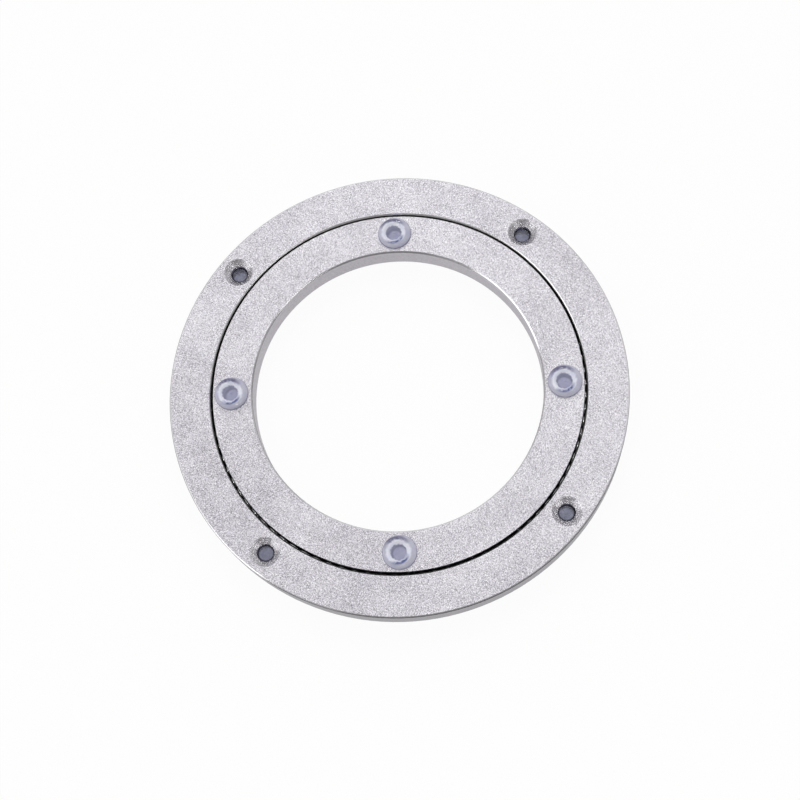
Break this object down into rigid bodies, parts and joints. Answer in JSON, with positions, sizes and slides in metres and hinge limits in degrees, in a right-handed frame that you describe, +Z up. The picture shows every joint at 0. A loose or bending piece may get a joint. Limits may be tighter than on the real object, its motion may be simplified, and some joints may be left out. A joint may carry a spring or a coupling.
{
  "type": "lazy susan bearing",
  "caption": "Slim turntable bearing: an inner ring turns on a row of balls inside an outer ring, with countersunk screw holes and soft pads to carry a tray or shelf.",
  "frame": {"origin": "on the axis of the rings, in the plane that the outer ring's pads stand on", "axes": "+Z up along the axis of the rings, through the inner ring's pads; a screw hole of the outer ring lies midway between +X and +Y, and the loading plug faces +Y"},
  "size_m": [0.14, 0.14, 0.0104],
  "materials": {
    "ring_metal": "bead-blasted, anodised clear",
    "plug_steel": "zinc plated",
    "silicone": "translucent, glossy",
    "ball_steel": "polished"
  },
  "bodies": {
    "outer": {"outer_ring": "ring_metal", "loading_plug": "plug_steel", "outer_pads": "silicone"},
    "inner": {"inner_ring": "ring_metal", "inner_pads": "silicone"},
    "ball_row": {"ball_set_01": "ball_steel", "ball_set_02": "ball_steel", "ball_set_03": "ball_steel", "ball_set_04": "ball_steel", "ball_set_05": "ball_steel", "ball_set_06": "ball_steel", "ball_set_07": "ball_steel", "ball_set_08": "ball_steel", "ball_set_09": "ball_steel", "ball_set_10": "ball_steel", "ball_set_11": "ball_steel", "ball_set_12": "ball_steel", "ball_set_13": "ball_steel", "ball_set_14": "ball_steel", "ball_set_15": "ball_steel", "ball_set_16": "ball_steel", "ball_set_17": "ball_steel", "ball_set_18": "ball_steel"}
  },
  "joints": [
    {"name": "inner_ring_spin", "type": "hinge", "parent": "outer", "child": "inner", "pos_m": [0, 0, 0.0052], "axis": [0, 0, 1], "continuous": true},
    {"name": "ball_row_spin", "type": "hinge", "parent": "outer", "child": "ball_row", "pos_m": [0, 0, 0.0052], "axis": [0, 0, 1], "continuous": true}
  ],
  "couplings": [
    {"joint": "ball_row_spin", "follows": "inner_ring_spin", "ratio": 0.48768}
  ]
}
